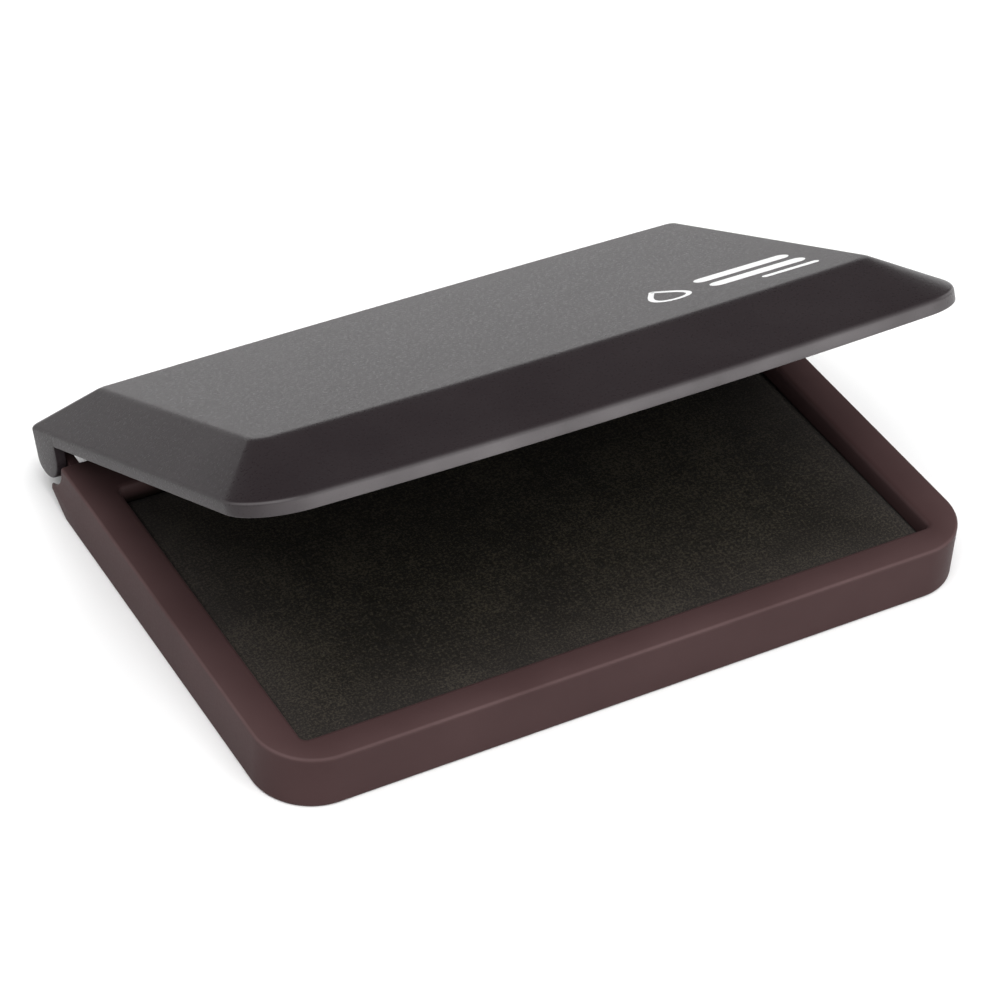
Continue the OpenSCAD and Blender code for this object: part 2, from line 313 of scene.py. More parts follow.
def inkedCloth(name, look):
    material, tree, shader, coords = newMaterial(name)
    nap = addNoise(tree, coords, look["nap"], detail=4, roughness=0.7)
    patches = addNoise(tree, coords, look["patch"], detail=4, roughness=0.6)
    threads = []
    scale = math.pi / 20 / look["thread"]                   # so that the wave repeats every two threads
    for turn in (0, math.pi / 2):                           # warp, then weft
        mapping = tree.nodes.new("ShaderNodeMapping")
        mapping.inputs["Rotation"].default_value = (0, 0, turn)
        tree.links.new(coords, mapping.inputs["Vector"])
        thread = tree.nodes.new("ShaderNodeTexWave")
        thread.inputs["Scale"].default_value = scale
        thread.inputs["Distortion"].default_value = look["threadWander"]
        thread.inputs["Detail"].default_value = 2
        thread.inputs["Detail Scale"].default_value = 2
        tree.links.new(mapping.outputs["Vector"], thread.inputs["Vector"])
        threads.append(thread.outputs["Fac"])
    weave = addMath(tree, "MULTIPLY", *threads)
    height = addMath(tree, "MULTIPLY_ADD", weave, look["weave"], nap)
    wet = addMath(tree, "MULTIPLY_ADD", patches, look["patchShare"], height)
    dryness = addRamp(tree, wet, *look["wet"], *look["inkRange"])
    inked = addTint(tree, dryness, look["dark"], look["light"])
    tone = addPaintedLight(tree, inked, addMath(tree, "MULTIPLY", wet, look["paintedEdgeLight"]), look["paintedLight"])
    tree.links.new(tone, shader.inputs["Base Color"])
    tree.links.new(addRamp(tree, nap, *look["rough"]), shader.inputs["Roughness"])
    tree.links.new(addBump(tree, height, look["depth"], look["bump"]), shader.inputs["Normal"])
    shader.inputs["Sheen Weight"].default_value = look["sheen"]
    shader.inputs["Sheen Roughness"].default_value = look["sheenRough"]
    shader.inputs["Specular IOR Level"].default_value = look["gloss"]
    return material


# Stuffs with one fine noise that gives tone, roughness and bump together: felt and board with fibres
# along X, drawn steel with streaks along the wire, and nearly even films of print and label
plainStuffs = {
    "felt": {"dark": (0.006, 0.005, 0.004), "light": (0.022, 0.018, 0.014), "grain": 0.0006, "detail": 5,
             "coarse": 0.7, "stretch": (1, 3, 1), "toneRange": (0.3, 0.7), "rough": (0.8, 0.97),
             "depth": 0.0001, "bump": 0.7, "gloss": 0.2},
    "board": {"dark": (0.24, 0.18, 0.12), "light": (0.4, 0.32, 0.23), "grain": 0.0012, "detail": 5,
              "coarse": 0.7, "stretch": (1, 4, 1), "toneRange": (0.3, 0.7), "rough": (0.8, 0.97),
              "depth": 0.00006, "bump": 0.7, "gloss": 0.2},
    "steel": {"dark": (0.42, 0.42, 0.43), "light": (0.58, 0.58, 0.58), "grain": 0.00012, "detail": 3,
              "coarse": 0.5, "stretch": (0.08, 1, 1), "toneRange": (0.3, 0.7), "rough": (0.22, 0.4),
              "depth": 0.00001, "bump": 0.4, "metal": 1},
    "print": {"dark": (0.9, 0.9, 0.9), "light": (0.95, 0.95, 0.95), "grain": 0.0009, "detail": 4,
              "coarse": 0.5, "toneRange": (0.35, 0.6), "rough": (0.35, 0.5), "depth": 0.00001,
              "bump": 0.3},
    "label": {"dark": (0.66, 0.65, 0.62), "light": (0.76, 0.75, 0.72), "grain": 0.0009, "detail": 4,
              "coarse": 0.5, "toneRange": (0.35, 0.6), "rough": (0.35, 0.5), "depth": 0.00001,
              "bump": 0.3},
}


def plainStuff(name, look):
    material, tree, shader, coords = newMaterial(name)
    if "stretch" in look:
        mapping = tree.nodes.new("ShaderNodeMapping")
        mapping.inputs["Scale"].default_value = look["stretch"]
        tree.links.new(coords, mapping.inputs["Vector"])
        coords = mapping.outputs["Vector"]
    fibres = addNoise(tree, coords, look["grain"], look["detail"], look["coarse"])
    tone = addTint(tree, addRamp(tree, fibres, 0, 1, *look["toneRange"]), look["dark"], look["light"])
    tree.links.new(tone, shader.inputs["Base Color"])
    tree.links.new(addRamp(tree, fibres, *look["rough"]), shader.inputs["Roughness"])
    tree.links.new(addBump(tree, fibres, look["depth"], look["bump"]), shader.inputs["Normal"])
    if "gloss" in look:
        shader.inputs["Specular IOR Level"].default_value = look["gloss"]
    if "metal" in look:
        shader.inputs["Metallic"].default_value = look["metal"]
    return material


trayPlastic = mouldedPlastic("trayPlastic", finishes["tray"])
lidPlastic = mouldedPlastic("lidPlastic", finishes["lid"])
linerPlastic = mouldedPlastic("linerPlastic", finishes["liner"])
coverPlastic = mouldedPlastic("coverPlastic", finishes["cover"])
sealRubber = mouldedPlastic("sealRubber", finishes["seal"])
padCloth = inkedCloth("padCloth", clothLook)
inkyFelt = plainStuff("inkyFelt", plainStuffs["felt"])
pressedBoard = plainStuff("pressedBoard", plainStuffs["board"])
pinSteel = plainStuff("pinSteel", plainStuffs["steel"])
whitePrint = plainStuff("whitePrint", plainStuffs["print"])
labelFilm = plainStuff("labelFilm", plainStuffs["label"])
print("materials made")


# Lengths in millimetres. A swing is the radius of the hollow in which the lid's rear edge turns, in the
# middle of the tray and at its two ends. straight is a bow so large that the edge is a straight line.
# The last four values are the strength of the painted shade on the well's rear wall, the strength of the
# painted reflection on its side walls, how near to a wall still counts as that wall, and an angle in
# radians that sets how much painted highlight is left at the ends of the rim's rounding.
tray = {"padDrop": 2.4, "linerGap": 0.15, "axisBack": 1.6, "frontCorner": 7.8, "endWidth": 0.4,
        "endRoundShare": 0.5, "wellCorner": 0.8, "rimRound": 0.35, "wellRound": 0.8, "footRound": 0.3,
        "wall": 1.6, "wallGap": 4.65, "middleSwing": 5.29, "endSwing": 4.82, "lipHeight": 2.2,
        "lipSlope": 0.472, "lipCut": 0.5, "pocketTop": 1.3, "straight": 1e6, "roundPoints": 6,
        "wallPoints": 24, "rearPaintedShade": 1.0, "wellPaintedReflection": 0.6, "wallReach": 1, "rimFade": 0.3}
rimZ = clothHigh.z + tray["padDrop"]
lipY = axisY - tray["axisBack"]
rearWallY = axisY - tray["wallGap"]
slantY = lipY - tray["lipHeight"] / tray["lipSlope"]

# How far along each stretch of the outline its points lie, from 0 to 1, with more points where it turns
# more. A stretch leaves out its first point where that is the last one of the stretch before it.
trayMarks = {
    "frontEdge": np.linspace(0, 1, 9),
    "frontCorner": np.linspace(0, 1, 19)[1:],
    "sideEdge": np.linspace(0, 1, 9)[1:],
    "rearCorner": np.linspace(0, 1, 6)[1:],
    "rearEdge": np.linspace(0, 1, 9),
}


# Where the tray's rear face lies at height z: the slanted underside, then the lip's edge, then the hollow
# for the lid, a circle of radius swing about the hinge axis, and at last the upright rear wall
def trayRear(z, swing, lip):
    hollow = axisY - np.sqrt(np.maximum(swing ** 2 - (z - axisZ) ** 2, 0))
    hollow = np.where(z > axisZ, rearWallY, np.maximum(hollow, rearWallY))
    return np.minimum(np.minimum(slantY + z / tray["lipSlope"], lip), hollow)


# The tray is one profile carried round: well wall, rim, outer wall, foot and the pocket for the cover
def trayShellRings():
    quarter = np.linspace(0, np.pi / 2, tray["roundPoints"])
    wellR, rimR, footR = tray["wellRound"], tray["rimRound"], tray["footRound"]
    gap = tray["linerGap"]
    upright = [tray["pocketTop"], clothHigh.z]
    wellZ = np.concatenate([upright, rimZ - wellR + wellR * np.sin(quarter)])
    wellOut = np.concatenate([[0, 0], wellR - wellR * np.cos(quarter)])
    middleLip = lipY - tray["lipCut"]
    breaks = [(middleLip - slantY) * tray["lipSlope"], tray["lipHeight"]]
    breaks += [axisZ - math.sqrt(swing ** 2 - (axisY - y) ** 2)
               for swing, y in ((tray["middleSwing"], middleLip), (tray["endSwing"], lipY),
                                (tray["middleSwing"], rearWallY), (tray["endSwing"], rearWallY))]
    wallZ = np.linspace(footR, rimZ - rimR, tray["wallPoints"])
    wallZ = np.unique(np.concatenate([wallZ, breaks]))[::-1]
    top, foot = quarter[:-1], quarter[1:]
    outZ = np.concatenate([rimZ - rimR + rimR * np.cos(top), wallZ, footR - footR * np.sin(foot)])
    outIn = np.concatenate([rimR - rimR * np.sin(top), 0 * wallZ, footR - footR * np.cos(foot)])

    z = np.concatenate([wellZ, outZ, [0, tray["pocketTop"]]])[:, None]
    columns = sum(len(m) for m in trayMarks.values())
    atEnds = np.arange(columns)[None, :] < columns - len(trayMarks["rearEdge"])
    rearOut = np.where(atEnds, trayRear(outZ[:, None], tray["endSwing"], lipY),
                       trayRear(outZ[:, None], tray["middleSwing"], middleLip)) - outIn[:, None]
    rearWell = np.broadcast_to(linerHigh.y + gap + wellOut[:, None], (len(wellZ), columns))
    rearPocket = np.full((2, columns), slantY - tray["wall"])

    def column(well, outer, pocket):
        return np.concatenate([well + 0 * wellZ, outer + 0 * outZ, [pocket, pocket]])[:, None]

    corner = tray["frontCorner"]
    endRound = tray["endWidth"] - tray["endRoundShare"] * outIn
    form = {
        "side": column(linerHigh.x + gap + wellOut, trayHigh.x - outIn, trayHigh.x - tray["wall"]),
        "front": column(linerLow.y - gap - wellOut, trayLow.y + outIn, trayLow.y + tray["wall"]),
        "rear": np.concatenate([rearWell, rearOut, rearPocket]),
        "frontRound": column(tray["wellCorner"] + wellOut, corner - outIn, corner - tray["wall"]),
        "rearRound": column(tray["wellCorner"] + wellOut, endRound, tray["endWidth"]),
        "bow": tray["straight"],
        "rearBow": 0,
    }
    rings = fullRings(halfOutline(form, trayMarks), z)

    # Painted highlight over the rounded rim, painted reflection near the top of the well's two side walls,
    # painted shade low on its rear wall
    paintedLightShade = np.zeros(rings.shape[:2])
    rim = len(wellZ)
    fade = np.linspace(tray["rimFade"], np.pi - tray["rimFade"], len(quarter))
    paintedLightShade[rim:rim + len(quarter)] = np.sin(fade)[:, None]
    low, high = len(upright), len(upright) + len(quarter) // 2
    atSide = np.abs(rings[0, :, 0]) > linerHigh.x - tray["wallReach"]
    atRear = rings[0, :, 1] > linerHigh.y - tray["wallReach"]
    paintedLightShade[low:high] = np.where(atSide, tray["wellPaintedReflection"], 0)
    paintedLightShade[:low] = np.where(atRear, -tray["rearPaintedShade"], 0)
    return ringShell(rings, closeRows=True), paintedLightShade.ravel()


# A lug is a round eye on the hinge axis with a neck that runs back into the rear wall
lug = {"radius": 1.65, "width": 1.2, "neckTop": 0.3, "rootDepth": 0.8, "edge": 0.18, "pinHead": 0.5,
       "points": 29}


def lugShells():
    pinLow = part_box("hinge_pin_right")[0] / mm
    x1 = pinLow.x + lug["pinHead"]
    x2 = x1 + lug["width"]
    a = np.linspace(-np.pi / 2, np.pi - math.asin(lug["neckTop"] / lug["radius"]), lug["points"])
    eye = np.stack([axisY + lug["radius"] * np.cos(a), axisZ + lug["radius"] * np.sin(a)], axis=1)
    root = rearWallY - lug["rootDepth"]
    neck = np.array([[root, axisZ + lug["neckTop"]], [root, axisZ - lug["radius"]]])
    profile = np.concatenate([eye, neck])
    right, faces = prismShell(profile, x1, x2, lug["edge"])
    return [(right, faces), (right * (-1, 1, 1), faces)]


trayBody, trayPaintedLightShade = trayShellRings()
trayParts = joinShells([trayBody] + lugShells())
trayPaintedLightShade = np.concatenate([trayPaintedLightShade, np.zeros(len(trayParts[0]) - len(trayPaintedLightShade))])
trayPiece = makePiece("trayShell", trayParts, trayPlastic, "base", paintedLightShade=trayPaintedLightShade)
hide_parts("base_shell")
print("tray made")


# Lengths in millimetres, as the lid lies when it is closed. A run is how far a bevel leans in, cornerSag
# is how far the bowed front edge falls back where its corners start, and the last two values are the
# strength of the painted highlight line along the shoulder at the front corners and the rows of the
# shoulder that carry it.
lid = {"wall": 1.2, "gap": 0.35, "band": 1.8, "height": 6.3, "over": 1.9, "back": 4.4, "bow": 513.5,
       "cornerSag": 2.25, "topRearBow": 0.37, "frontCorner": 8.4, "rearCorner": 1.5, "topCorner": 1.0,
       "topFrontCorner": 2.4, "innerRearCorner": 0.5, "sideRun": 7.0, "frontRun": 12.45, "rearRun": 9.6,
       "edgeRound": 0.22, "bandBlend": 0.42, "bandBlendRun": 0.055, "topBlend": 0.3, "earRadius": 3.85,
       "notchIn": 2.5, "notchTop": 2.3, "notchPast": 0.05, "innerStep": 1.4, "innerSteps": 3,
       "earPoints": 41, "shoulderPoints": 7, "bevelPoints": 6, "edgePoints": 5,
       "faceShares": [0.2, 0.6, 0.95], "topShare": 0.985, "highlightLine": 1.0, "highlightRows": (2, 4)}
lowerZ = rimZ + lid["gap"]
bandZ = lowerZ + lid["band"]
topZ = lowerZ + lid["height"]
lidFront = trayLow.y - lid["over"]
lidRear = axisY + lid["back"]
rise = topZ - bandZ


# How deep an inner face must start so that a bevel of this run keeps the wall's thickness
def innerRun(run):
    drop = lid["wall"] * math.hypot(1, rise / run)
    return (rise - lid["wall"] + drop) * run / rise


kneeZ = bandZ + min(lid["wall"] * (rise / run - math.hypot(1, rise / run))
                    for run in (lid["sideRun"], lid["frontRun"], lid["rearRun"]))
earReach = math.sqrt(lid["earRadius"] ** 2 - (lowerZ - axisZ) ** 2)
earFlat = lidRear - lid["rearCorner"] - axisY              # from the axis to where the rear corner starts
earTurn = math.asin(earReach / lid["earRadius"])
earAngles = np.linspace(-earTurn, earTurn, lid["earPoints"])
earPath = lid["earRadius"] * np.sin(earAngles)             # along the lower edge, from the axis
sideLength = lidRear - lid["rearCorner"] - (lidFront + lid["frontCorner"] + lid["cornerSag"])


# How far round the rear corner a notch starts, from 0 to 1: left is what is left of the radius there
def cornerShare(left, radius):
    return math.acos(left / radius) / (math.pi / 2)


notchOuter = cornerShare(lid["rearCorner"] - lid["wall"] - lid["notchPast"], lid["rearCorner"])
notchInner = cornerShare(lid["innerRearCorner"] - lid["notchPast"], lid["innerRearCorner"])

# More points lie where the lower edge turns round the ears and steps up at the notches
earMarks = 1 + (earPath[earPath < earFlat] - earFlat) / sideLength
sideMarks = np.unique(np.concatenate([np.linspace(0, 1, 12), earMarks]))
cornerPath = (earPath[earPath > earFlat] - earFlat) / (lid["rearCorner"] * np.pi / 2)
cornerMarks = np.unique(np.concatenate([cornerPath, np.linspace(cornerPath[-1], notchOuter, 6),
                                        [notchOuter + tick, 1]]))
rearHalf = lidHalf - lid["rearCorner"]
notchEnd = lidHalf - (lid["wall"] + lid["notchPast"]) - lid["notchIn"]
notchMark = (rearHalf - notchEnd) / rearHalf
rearMarks = np.concatenate([[notchMark, notchMark + tick], np.linspace(notchMark, 1, 10)[1:]])
lidMarks = {
    "frontEdge": np.linspace(0, 1, 13),
    "frontCorner": np.linspace(0, 1, 25)[1:],
    "sideEdge": sideMarks[1:],
    "rearCorner": cornerMarks,
    "rearEdge": rearMarks,
}
innerMarks = dict(lidMarks)
innerMarks["rearCorner"] = np.interp(cornerMarks, [0, notchOuter, 1], [0, notchInner, 1])
rearStart = -len(rearMarks)                                # columns of half an outline, from its end
cornerStart = rearStart - len(cornerMarks)
notchZ = axisZ + lid["notchTop"]


# Height of the lower edge: level, but round the hinge ears it follows a circle about the hinge axis, and
# at the two lugs it steps up into a notch
def lowerEdge():
    along = np.concatenate([
        np.full(len(lidMarks["frontEdge"]) + len(lidMarks["frontCorner"]), -lid["earRadius"]),
        earFlat + (lidMarks["sideEdge"] - 1) * sideLength,
        earFlat + lidMarks["rearCorner"] * lid["rearCorner"] * np.pi / 2,
        np.full(len(lidMarks["rearEdge"]), lid["earRadius"]),
    ])
    earEdge = axisZ - np.sqrt(np.maximum(lid["earRadius"] ** 2 - along ** 2, 0))
    edge = np.where(np.abs(along) < earReach - tick, earEdge, lowerZ)
    inNotch = lidMarks["rearCorner"] > notchOuter + tick / 2
    edge[cornerStart:rearStart][inNotch] = notchZ
    edge[rearStart] = notchZ
    return edge


# Outer skin at bevel share t, taken in by inset; t and inset are rows x columns
def outerForm(t, inset):
    return {
        "side": lidHalf - lid["sideRun"] * t - inset,
        "front": lidFront + lid["frontRun"] * t + inset,
        "rear": lidRear - lid["rearRun"] * t - inset,
        "frontRound": lid["frontCorner"] + (lid["topFrontCorner"] - lid["frontCorner"]) * t - inset,
        "rearRound": lid["rearCorner"] + (lid["topCorner"] - lid["rearCorner"]) * t - inset,
        "bow": lid["bow"],
        "rearBow": lid["topRearBow"] * t,
    }


def innerForm(t):
    wall = lid["wall"]
    return {
        "side": lidHalf - wall + (wall - innerRun(lid["sideRun"])) * t,
        "front": lidFront + wall + (innerRun(lid["frontRun"]) - wall) * t,
        "rear": lidRear - wall + (wall - innerRun(lid["rearRun"])) * t,
        "frontRound": lid["frontCorner"] - wall + (lid["topCorner"] - lid["frontCorner"] + wall) * t,
        "rearRound": lid["innerRearCorner"] + (lid["topCorner"] - lid["innerRearCorner"]) * t,
        "bow": lid["bow"],
        "rearBow": lid["topRearBow"] * t,
    }


# Rings that shrink a flat face's outline towards a line along X in its middle, half as long as the face
def faceRings(ring, shares):
    halfLine = np.abs(ring[:, 0]).max() * 0.5
    middle = np.stack([np.clip(ring[:, 0], -halfLine, halfLine),
                       np.full(len(ring), ring[:, 1].mean()), ring[:, 2]], axis=1)
    return middle + (ring - middle) * np.array(shares)[:, None, None]


# The lid is one skin: up the inside from its middle, round the lower edge, up the band, over a rounded
# shoulder, up the bevel and over a second rounded edge to the top face
def lidShellRings():
    low = lowerEdge()[None, :]
    innerTopZ = topZ - lid["wall"]
    knee = np.full(low.shape, kneeZ)
    knee[0, cornerStart:rearStart + 1] = notchZ             # upright as far as the top of the notch
    start = innerTopZ - lid["innerStep"] * np.arange(lid["innerSteps"])[:, None] + 0 * low
    innerZ = np.maximum(np.concatenate([start, knee, 0 * low]), low)
    innerT = np.clip((innerZ - knee) / (innerTopZ - knee), 0, 1)
    inner = fullRings(halfOutline(innerForm(innerT), innerMarks), innerZ)

    # Both roundings are parabolas between two tangent lines, with s running from 0 to 1 along each
    s = np.linspace(0, 1, lid["shoulderPoints"])
    blend, run = lid["bandBlend"], lid["bandBlendRun"]
    shoulderZ = (1 - s) ** 2 * (bandZ - blend) + 2 * s * (1 - s) * bandZ + s ** 2 * (bandZ + rise * run)
    shoulderT = s ** 2 * run
    crest = lid["topBlend"] / rise
    crestZ = (1 - s) ** 2 * (topZ - lid["topBlend"]) + (2 * s * (1 - s) + s ** 2) * topZ
    crestT = (1 - s) ** 2 * (1 - crest) + 2 * s * (1 - s) + s ** 2 * (1 + crest)
    bevelZ = np.linspace(bandZ + rise * run, topZ - lid["topBlend"], lid["bevelPoints"])[1:-1]
    bevelT = (bevelZ - bandZ) / rise
    skinZ = np.concatenate([shoulderZ, bevelZ, crestZ])
    skinT = np.concatenate([shoulderT, bevelT, crestT])

    a = np.linspace(0, np.pi / 2, lid["edgePoints"])[:, None]
    edgeR = lid["edgeRound"]
    edgeZ = low + edgeR * (1 - np.cos(a))
    edgeIn = edgeR * (1 - np.sin(a)) + 0 * low
    outerZ = np.concatenate([edgeZ, np.maximum(skinZ[:, None], low + edgeR)])
    outerIn = np.concatenate([edgeIn, np.zeros((len(skinZ), low.shape[1]))])
    outerT = np.interp(outerZ, skinZ, skinT)
    outerT[-len(crestT):] = crestT[:, None]
    outer = fullRings(halfOutline(outerForm(outerT, outerIn), lidMarks), outerZ)

    inside = faceRings(inner[0], lid["faceShares"])
    onTop = faceRings(outer[-1], [lid["topShare"]] + lid["faceShares"][::-1])
    rows = np.concatenate([inside, inner, outer, onTop])

    # Painted light on the front band, fading round the corners and over the shoulder, with a thin painted
    # highlight line along the shoulder at each front corner
    edgeCount, cornerMark = len(lidMarks["frontEdge"]), lidMarks["frontCorner"]
    atCorner = slice(edgeCount, edgeCount + len(cornerMark))
    front, highlight = np.zeros(low.shape[1]), np.zeros(low.shape[1])
    front[:edgeCount] = 1
    front[atCorner] = 1 - cornerMark
    highlight[atCorner] = np.sin(np.pi * cornerMark)
    front, highlight = (np.concatenate([half, half[-2:0:-1]]) for half in (front, highlight))
    paintedLightShade = np.zeros(rows.shape[:2])
    band = len(inside) + len(inner)
    shoulder = band + len(edgeZ)
    paintedLightShade[band:shoulder] = 1
    paintedLightShade[shoulder:shoulder + len(s)] = ((1 - s) ** 2)[:, None]
    paintedLightShade *= front
    paintedLight = slice(*(shoulder + row for row in lid["highlightRows"]))
    paintedLightShade[paintedLight] = np.maximum(paintedLightShade[paintedLight], highlight * lid["highlightLine"])
    return ringShell(openLid(rows)), paintedLightShade.ravel()


lidBody, lidPaintedLight = lidShellRings()
lidPiece = makePiece("lidShell", lidBody, lidPlastic, "lid", paintedLightShade=lidPaintedLight)
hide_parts("lid_shell")
print("lid made")


# Lengths in millimetres, but napSize and waveSize are in grid steps; creaseAngle is in degrees
pad = {"step": 0.36, "sink": 0.08, "crown": 0.16, "roll": 0.55, "rollWidth": 1.1, "nap": 0.022,
       "napSize": 0.8, "wave": 0.03, "waveSize": 12, "smoothRim": 0.8, "thinnest": 0.01, "paintedLightWidth": 8,
       "seed": 7, "creaseAngle": 60}


# Smooth random lumps on a grid: random numbers blurred by a bell curve along both axes
def lumps(rows, columns, size, random):
    width = max(int(size * 3), 1)                           # the bell is cut off at three times its size
    bell = np.exp(-0.5 * (np.arange(-width, width + 1) / size) ** 2)
    bell /= np.linalg.norm(bell)
    values = random.standard_normal((rows + 2 * width, columns + 2 * width))
    values = np.apply_along_axis(np.convolve, 0, values, bell, "valid")
    return np.apply_along_axis(np.convolve, 1, values, bell, "valid")


# The cloth is a sheet over a crowned felt. Its height is the pad's own less sink, plus a crown of one minus
# the fourth power of a cosine along each axis, minus a quarter-round roll near the edge, plus broad waves
# and a fine nap. Its painted light, which makes it paler, falls off exponentially from the edge.
def padShell():
    x1, x2, y1, y2 = clothLow.x, clothHigh.x, clothLow.y, clothHigh.y
    columns, rows = (int((b - a) / pad["step"]) for a, b in ((x1, x2), (y1, y2)))
    u, v = np.meshgrid(np.linspace(0, 1, columns), np.linspace(0, 1, rows))
    x, y = x1 + (x2 - x1) * u, y1 + (y2 - y1) * v
    edge = np.minimum(np.minimum(x - x1, x2 - x), np.minimum(y - y1, y2 - y))
    near = np.clip(1 - edge / pad["rollWidth"], 0, 1)
    roll = pad["roll"] * (1 - np.sqrt(1 - near ** 2))
    crown = pad["crown"] * (1 - np.cos(np.pi * u) ** 4) * (1 - np.cos(np.pi * v) ** 4)
    random = np.random.default_rng(pad["seed"])
    fine = lumps(rows, columns, pad["napSize"], random) * pad["nap"]
    broad = lumps(rows, columns, pad["waveSize"], random) * pad["wave"]
    rough = (fine + broad) * np.clip(edge / pad["smoothRim"], 0, 1)
    top = clothHigh.z - pad["sink"] + crown - roll + rough
    bottom = np.full_like(top, clothLow.z)
    top = np.maximum(top, bottom + pad["thinnest"])
    points = np.concatenate([np.stack([x, y, h], axis=-1).reshape(-1, 3) for h in (top, bottom)])
    r, c = np.arange(rows - 1)[:, None], np.arange(columns - 1)[None, :]
    shift = rows * columns                                 # from a point of the top to the one below it
    corner = r * columns + c
    up = np.stack([corner, corner + 1, corner + columns + 1, corner + columns], axis=-1).reshape(-1, 4)
    down = up[:, ::-1] + shift
    rim = np.concatenate([np.arange(columns), columns - 1 + columns * np.arange(1, rows),
                          (rows - 1) * columns + np.arange(columns - 2, -1, -1),
                          columns * np.arange(rows - 2, 0, -1)])
    nextRim = np.roll(rim, -1)
    wall = np.stack([rim + shift, nextRim + shift, nextRim, rim], axis=-1)
    paintedEdgeLight = np.tile(np.exp(-edge / pad["paintedLightWidth"]).ravel(), 2)
    return (points, np.concatenate([up, down, wall]).tolist()), paintedEdgeLight


padBody, padPaintedLight = padShell()
padPiece = makePiece("inkCloth", padBody, padCloth, "base", pad["creaseAngle"], padPaintedLight)
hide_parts("ink_cloth")
print("pad made")


# In millimetres on the closed lid's top face. Each bar is its left end, right end, middle in Y and half
# width.
mark = {"dropX": 19.0, "dropY": -9.6, "dropSize": 3.4, "dropTaper": 1.5, "dropPoints": 64,
        "dropStart": 0.02, "stroke": 0.75, "film": 0.04, "barPoints": 13,
        "bars": ((24.6, 38.6, -7.6, 1.15), (24.6, 38.6, -11.6, 1.15), (30.2, 38.6, -15.0, 0.55))}


# A closed line of the given width: the path pushed out and in along its own normals, as a thin film
def strokeShell(path, width):
    along = np.roll(path, -1, axis=0) - np.roll(path, 1, axis=0)
    normal = np.stack([along[:, 1], -along[:, 0]], axis=1) / np.linalg.norm(along, axis=1)[:, None]
    offsets = np.array([-0.5, 0.5, 0.5, -0.5])[:, None, None] * width
    heights = topZ + np.array([0.5, 0.5, -0.5, -0.5]) * mark["film"]
    flat = path + normal * offsets
    z = np.broadcast_to(heights[:, None, None], flat.shape[:2] + (1,))
    return ringShell(np.concatenate([flat, z], axis=-1), closeRows=True)


# A bar with round ends, as a thin film
def barShell(x1, x2, y, half):
    a = np.linspace(-np.pi / 2, np.pi / 2, mark["barPoints"])
    right = np.stack([x2 - half + half * np.cos(a), y + half * np.sin(a)], axis=1)
    left = np.stack([x1 + half - half * np.cos(a), y - half * np.sin(a)], axis=1)
    outline = np.concatenate([right, left])
    heights = topZ + np.array([-0.5, 0.5]) * mark["film"]
    flat = np.broadcast_to(outline, (2,) + outline.shape)
    z = np.broadcast_to(heights[:, None, None], (2, len(outline), 1))
    return ringShell(np.concatenate([flat, z], axis=-1))


# The drop: x is size times sin t times sin(t / 2) to the power of taper, and y is size times cos t
def dropPath():
    t = np.linspace(0, 2 * np.pi, mark["dropPoints"], endpoint=False) + mark["dropStart"]
    size = mark["dropSize"]
    wide = size * np.sin(t) * np.abs(np.sin(t / 2)) ** mark["dropTaper"]
    return np.stack([mark["dropX"] + wide, mark["dropY"] + size * np.cos(t)], axis=1)


bars = [barShell(*bar) for bar in mark["bars"]]
markPoints, markFaces = joinShells([strokeShell(dropPath(), mark["stroke"])] + bars)
markPiece = makePiece("lidPrint", (openLid(markPoints), markFaces), whitePrint, "lid")
print("print made")


# The other pieces keep the shapes they come with and only get their materials
for node, material in {
    "bottom_cover": coverPlastic, "pad_tray": linerPlastic, "backing_board": pressedBoard,
    "cloth_frame": linerPlastic, "felt_core": inkyFelt, "wick_layer": inkyFelt, "base_label": labelFilm,
    "hinge_pin_left": pinSteel, "hinge_pin_right": pinSteel, "lid_seal": sealRubber,
}.items():
    slots = frame["nodes"][node].data.materials
    slots.clear()
    slots.append(material)


# Lengths in metres. key is the direction of a broad sun and keyAngle its width in degrees; place is the
# direction of a softbox, which stands at distance from the origin.
stage = {"floor": 6.0, "floorDrop": 0.00003, "paperCloud": 0.02, "paperDark": (0.93, 0.93, 0.93),
         "paperLight": (0.95, 0.95, 0.95), "paperRough": 0.9,
         "horizon": 0.15, "middle": 0.25, "zenith": 0.5,
         "bands": ((0.0, "horizon"), (0.35, "middle"), (0.6, "middle"), (1.0, "zenith")),
         "key": (-0.1, -0.24, 0.94), "keyStrength": 3.2, "keyAngle": 68, "distance": 1.2,
         "boxes": {"frontSoftbox": {"place": (0.52, -0.83, 0.2), "size": (0.5, 0.18), "radiance": 9.5},
                   "leftSoftbox": {"place": (-0.85, -0.35, 0.36), "size": (0.7, 0.4), "radiance": 1.4}}}


def makeFloor():
    half = stage["floor"] / 2
    mesh = bpy.data.meshes.new("floor")
    corners = [(-half, -half), (half, -half), (half, half), (-half, half)]
    mesh.from_pydata([(x, y, -stage["floorDrop"]) for x, y in corners], [], [(0, 1, 2, 3)])
    material, tree, shader, coords = newMaterial("paleFloor")
    paper = addNoise(tree, coords, stage["paperCloud"], detail=3)
    tone = addTint(tree, paper, stage["paperDark"], stage["paperLight"])
    tree.links.new(tone, shader.inputs["Base Color"])
    shader.inputs["Roughness"].default_value = stage["paperRough"]
    mesh.materials.append(material)
    floor = bpy.data.objects.new("floor", mesh)
    bpy.context.scene.collection.objects.link(floor)


def addLight(kind, name, direction, distance):
    light = bpy.data.lights.new(name, kind)
    lamp = bpy.data.objects.new(name, light)
    towards = Vector(direction).normalized()
    turn = (-towards).to_track_quat("-Z", "Y").to_matrix().to_4x4()
    lamp.matrix_world = Matrix.Translation(towards * distance) @ turn
    bpy.context.scene.collection.objects.link(lamp)
    return light


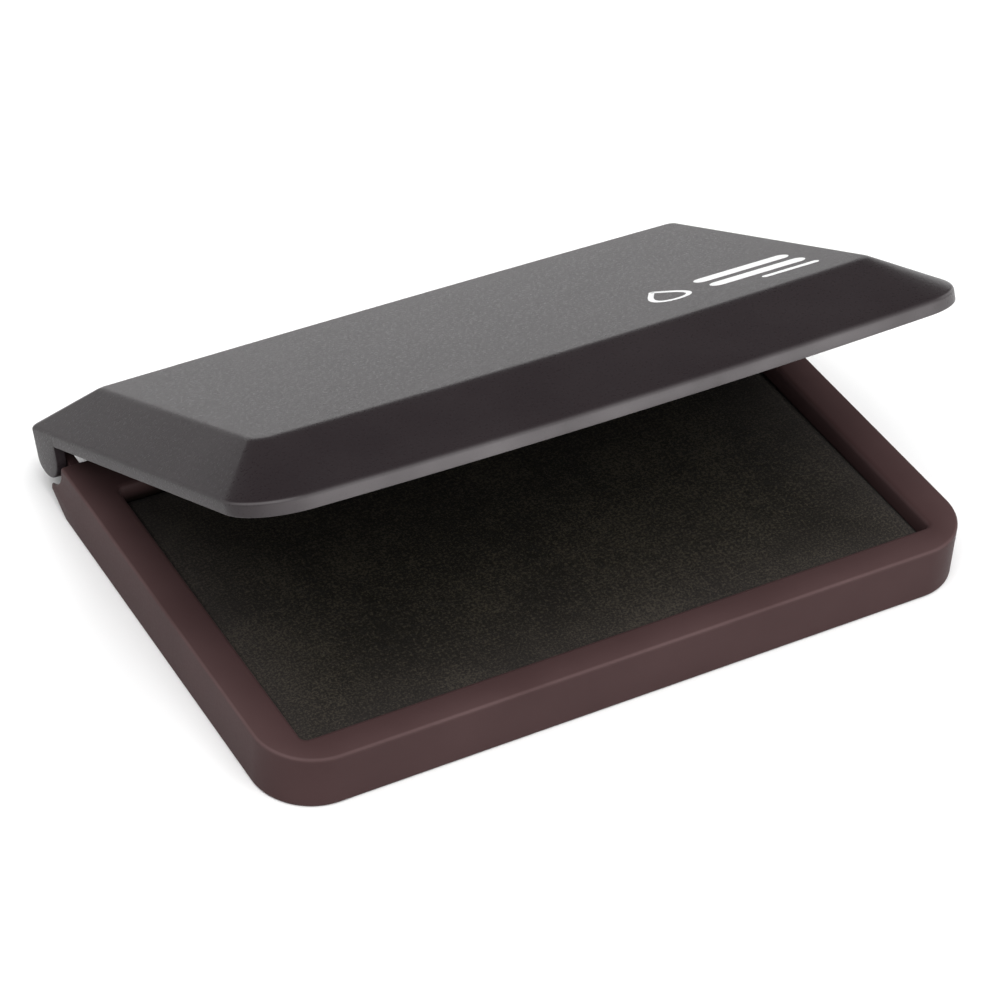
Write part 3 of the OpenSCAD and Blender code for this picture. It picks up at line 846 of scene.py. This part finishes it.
# A broad soft key from above, and two low softboxes that light the upright walls
def makeLights():
    key = addLight("SUN", "keyLight", stage["key"], 1)
    key.angle = math.radians(stage["keyAngle"])
    key.energy = stage["keyStrength"]
    for name, box in stage["boxes"].items():
        light = addLight("AREA", name, box["place"], stage["distance"])
        light.shape = "RECTANGLE"
        light.size, light.size_y = box["size"]
        light.energy = box["radiance"] * math.pi * light.size * light.size_y


# A grey sky that brightens from the horizon to the zenith
def makeWorld():
    world = bpy.data.worlds.new("studio")
    bpy.context.scene.world = world
    world.use_nodes = True
    tree = world.node_tree
    split = tree.nodes.new("ShaderNodeSeparateXYZ")
    tree.links.new(tree.nodes.new("ShaderNodeTexCoord").outputs["Generated"], split.inputs["Vector"])
    ramp = tree.nodes.new("ShaderNodeValToRGB")
    ramp.color_ramp.interpolation = "EASE"
    while len(ramp.color_ramp.elements) < len(stage["bands"]):
        ramp.color_ramp.elements.new(0.5)
    for stop, (height, tone) in zip(ramp.color_ramp.elements, stage["bands"]):
        stop.position = height
        stop.color = (stage[tone], stage[tone], stage[tone], 1)
    tree.links.new(split.outputs["Z"], ramp.inputs["Fac"])
    tree.links.new(ramp.outputs["Color"], tree.nodes["Background"].inputs["Color"])


# Where the camera looks and from where, in millimetres and degrees; only nearest is in metres. The azimuth
# turns from the front, and the elevation rises from the floor.
view = {"aim": (-0.3, 3.1, 4.46), "azimuth": -32.4, "elevation": 39.72, "roll": 4.39,
        "distance": 459.6, "lens": 128.3, "sensor": 36, "nearest": 0.01}


def makeCamera():
    az, el, roll = (math.radians(view[k]) for k in ("azimuth", "elevation", "roll"))
    back = Vector((math.sin(az) * math.cos(el), -math.cos(az) * math.cos(el), math.sin(el)))
    level = Vector((math.cos(az), math.sin(az), 0))
    upright = back.cross(level)
    right = level * math.cos(roll) + upright * math.sin(roll)
    up = upright * math.cos(roll) - level * math.sin(roll)
    camera = bpy.data.objects.new("camera", bpy.data.cameras.new("camera"))
    turn = Matrix((right, up, back)).transposed().to_4x4()
    place = (Vector(view["aim"]) + back * view["distance"]) * mm
    camera.matrix_world = Matrix.Translation(place) @ turn
    camera.data.lens = view["lens"]
    camera.data.sensor_width = view["sensor"]
    camera.data.clip_start = view["nearest"]
    bpy.context.scene.collection.objects.link(camera)
    bpy.context.scene.camera = camera
    bpy.context.scene.view_settings.view_transform = "Standard"


makeFloor()
makeWorld()
makeLights()
makeCamera()
print("stage made")
